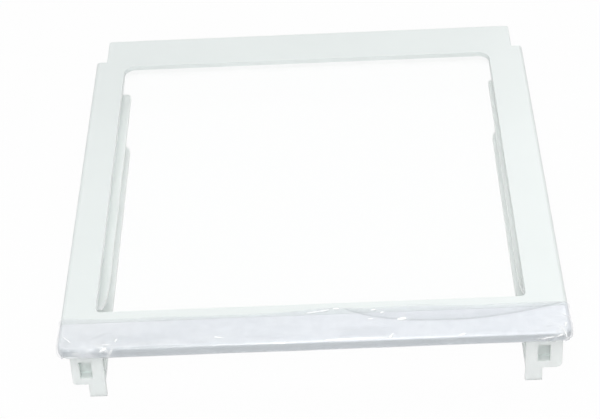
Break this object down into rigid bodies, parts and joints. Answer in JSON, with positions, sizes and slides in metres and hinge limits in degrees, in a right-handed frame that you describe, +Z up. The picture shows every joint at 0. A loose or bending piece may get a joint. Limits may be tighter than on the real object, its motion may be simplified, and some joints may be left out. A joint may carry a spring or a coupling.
{
  "type": "freezer shelf",
  "caption": "White moulded frame round a clear glass pane, with a film-covered front bar and drawer rails hanging under both sides.",
  "frame": {"origin": "under the middle of the shelf, level with the bottoms of the two front feet", "axes": "+X to the right seen from the front, +Y from the front bar to the rear tab, +Z up"},
  "size_m": [0.3304, 0.37, 0.0567],
  "materials": {
    "frame_plastic": "satin",
    "trim_plastic": "gloss",
    "rail_plastic": "satin",
    "film": "gloss",
    "pane_glass": "polished",
    "screw_steel": "zinc plated"
  },
  "bodies": {
    "root": {"top_frame": "frame_plastic", "glass_pane": "pane_glass", "front_trim": "trim_plastic", "protective_film": "film", "left_rail": "rail_plastic", "right_rail": "rail_plastic", "rail_screws": "screw_steel"}
  },
  "joints": []
}
